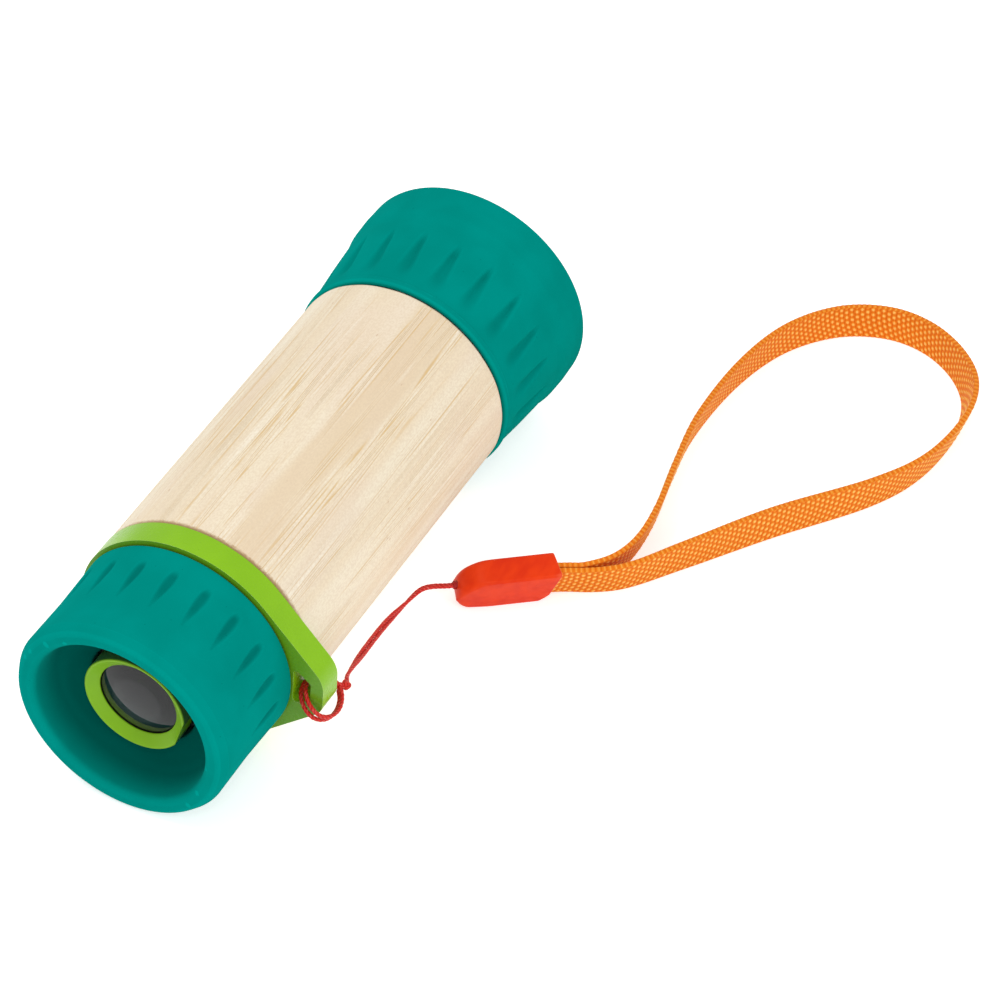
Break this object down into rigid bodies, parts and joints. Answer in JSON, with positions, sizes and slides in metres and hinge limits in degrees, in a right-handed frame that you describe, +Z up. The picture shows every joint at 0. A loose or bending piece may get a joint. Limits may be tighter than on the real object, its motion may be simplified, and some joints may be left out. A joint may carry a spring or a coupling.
{
  "type": "kaleidoscope",
  "caption": "Bamboo tube kaleidoscope with a dished eyecup, a mirror prism, a turning bead chamber under a grip cap, and a wrist strap tied to a lug ring.",
  "frame": {"origin": "centre of the outer window's flat face, on the optical axis at the bead chamber's end", "axes": "+Y along the optical axis from the eyepiece out through the outer window, +Z up with the toy lying on its side, +X towards the strap lug"},
  "size_m": [0.1101, 0.1757, 0.0474],
  "materials": {
    "bamboo": "sanded, unvarnished, fine lengthwise grain",
    "black_plastic": "matt moulded",
    "green_plastic": "satin gloss moulded",
    "teal_silicone": "matt silicone rubber with drop-shaped grip hollows",
    "clear_lens": "polished",
    "clear_plastic": "polished acrylic",
    "frosted_plastic": "frosted acrylic that spreads the light",
    "mirror": "front-silvered strip",
    "foam": "soft open-cell foam",
    "card": "matt black card",
    "felt": "pressed felt",
    "red_cord": "waxed twisted cord",
    "red_plastic": "satin moulded",
    "orange_webbing": "flat woven webbing",
    "bead_red": "clear tinted",
    "bead_yellow": "clear tinted",
    "bead_blue": "clear tinted",
    "bead_green": "clear tinted",
    "bead_pink": "clear tinted",
    "bead_violet": "clear tinted",
    "bead_cyan": "clear tinted",
    "bead_clear": "clear",
    "bead_orange": "clear tinted"
  },
  "bodies": {
    "tube": {"bamboo_tube": "bamboo", "eyepiece_core": "black_plastic", "strap_ring": "green_plastic", "eyecup": "teal_silicone", "eyepiece_bezel": "green_plastic", "eye_lens": "clear_lens", "lens_clip": "black_plastic", "mirror_a": "mirror", "mirror_b": "mirror", "mirror_c": "mirror", "mirror_pad_a": "foam", "mirror_pad_b": "foam", "mirror_pad_c": "foam", "eye_stop": "card", "mirror_mask": "card", "chamber_bush": "black_plastic", "bush_keeper": "black_plastic", "slip_washer": "felt"},
    "chamber": {"chamber_housing": "black_plastic", "inner_window": "clear_plastic", "chamber_spacer": "clear_plastic", "outer_window": "frosted_plastic", "window_ring": "green_plastic", "grip_cap": "teal_silicone"},
    "beads": {"round_bead_red": "bead_red", "star_chip": "bead_yellow", "round_bead_blue": "bead_blue", "triangle_chip": "bead_green", "flat_bead_pink": "bead_pink", "flower_chip": "bead_violet", "round_bead_cyan": "bead_cyan", "round_bead_clear": "bead_clear", "bugle_bead_orange": "bead_orange"},
    "hitch": {"cord_hitch": "red_cord", "cord_knot": "red_cord"},
    "cord": {"cord_strand_a": "red_cord", "cord_strand_b": "red_cord"},
    "sleeve": {"strap_sleeve": "red_plastic", "cord_stopper": "red_cord", "webbing_tail": "orange_webbing"},
    "webbing": {"webbing_loop": "orange_webbing"}
  },
  "joints": [
    {"name": "chamber_spin", "type": "hinge", "parent": "tube", "child": "chamber", "pos_m": [0, -0.0068, 0], "axis": [0, 1, 0], "continuous": true},
    {"name": "bead_tumble", "type": "hinge", "parent": "chamber", "child": "beads", "pos_m": [0, -0.0068, 0], "axis": [0, 1, 0], "continuous": true},
    {"name": "hitch_swing", "type": "hinge", "parent": "tube", "child": "hitch", "pos_m": [0.0245, -0.0988, -0.0054], "axis": [0, 0, 1], "range_deg": [-15, 2]},
    {"name": "cord_lift", "type": "hinge", "parent": "hitch", "child": "cord", "pos_m": [0.02576, -0.09328, -0.00641], "axis": [0.9397, 0, -0.342], "range_deg": [0, 60]},
    {"name": "sleeve_bend", "type": "hinge", "parent": "cord", "child": "sleeve", "pos_m": [0.02451, -0.05421, -0.01738], "axis": [0, 0.0231, 0.9997], "range_deg": [-50, 8]},
    {"name": "webbing_bend", "type": "hinge", "parent": "sleeve", "child": "webbing", "pos_m": [0.04065, -0.04173, -0.01766], "axis": [0, 0.0231, 0.9997], "range_deg": [-30, 5]}
  ]
}
